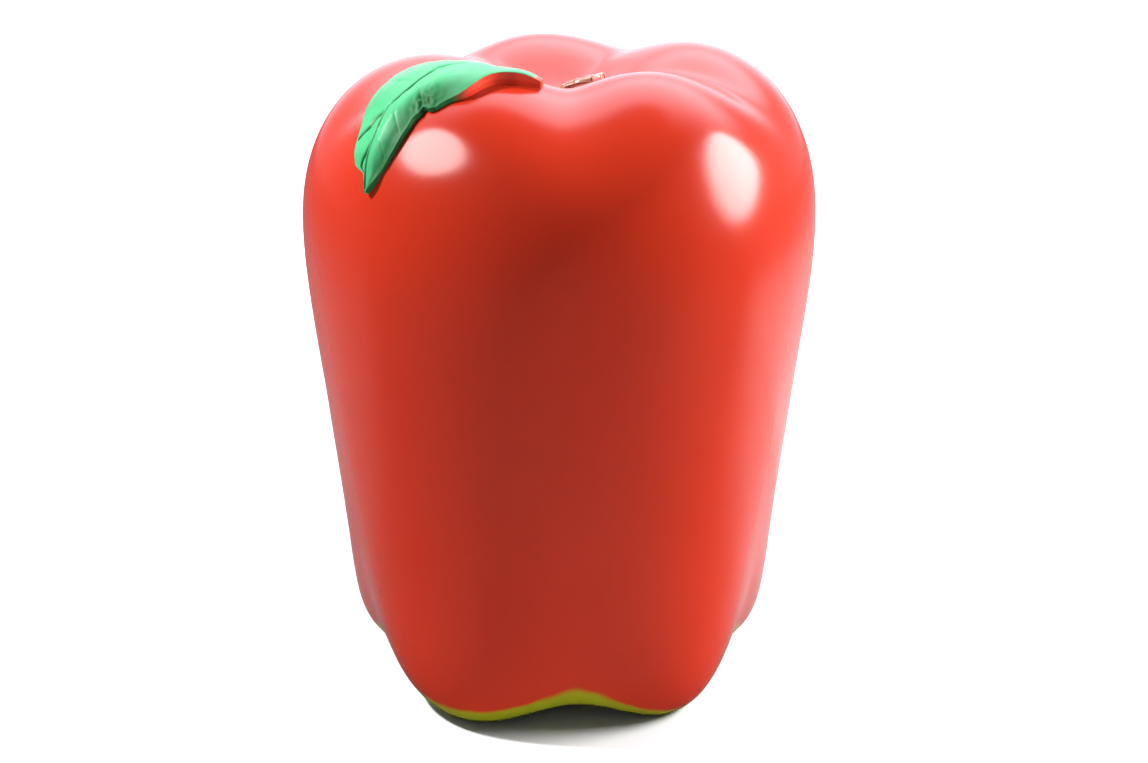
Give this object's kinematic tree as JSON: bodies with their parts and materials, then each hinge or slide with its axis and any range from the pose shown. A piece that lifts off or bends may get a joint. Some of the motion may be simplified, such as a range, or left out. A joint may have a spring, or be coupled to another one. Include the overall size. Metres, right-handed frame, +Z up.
{
  "type": "decorative apple model",
  "caption": "Oversized glossy red apple ornament, tall and lobed like a bell pepper, with a moulded green leaf, a short brown stem and a yellow-green underside. It stands on its feet.",
  "frame": {"origin": "on the floor under the middle of the body's footprint", "axes": "+Z up along the body's axis; -Y towards the front, where two lobes meet; the leaf hangs towards -X"},
  "size_m": [0.3666, 0.3648, 0.4633],
  "materials": {
    "body_red_paint": "red gloss paint over a smooth cast form, sprayed to a yellow-green underneath",
    "leaf_green_paint": "bright green gloss paint over moulded veins",
    "stem_brown_paint": "brown gloss paint"
  },
  "bodies": {
    "root": {"apple_body": "body_red_paint", "leaf": "leaf_green_paint", "stem": "stem_brown_paint"}
  },
  "joints": []
}
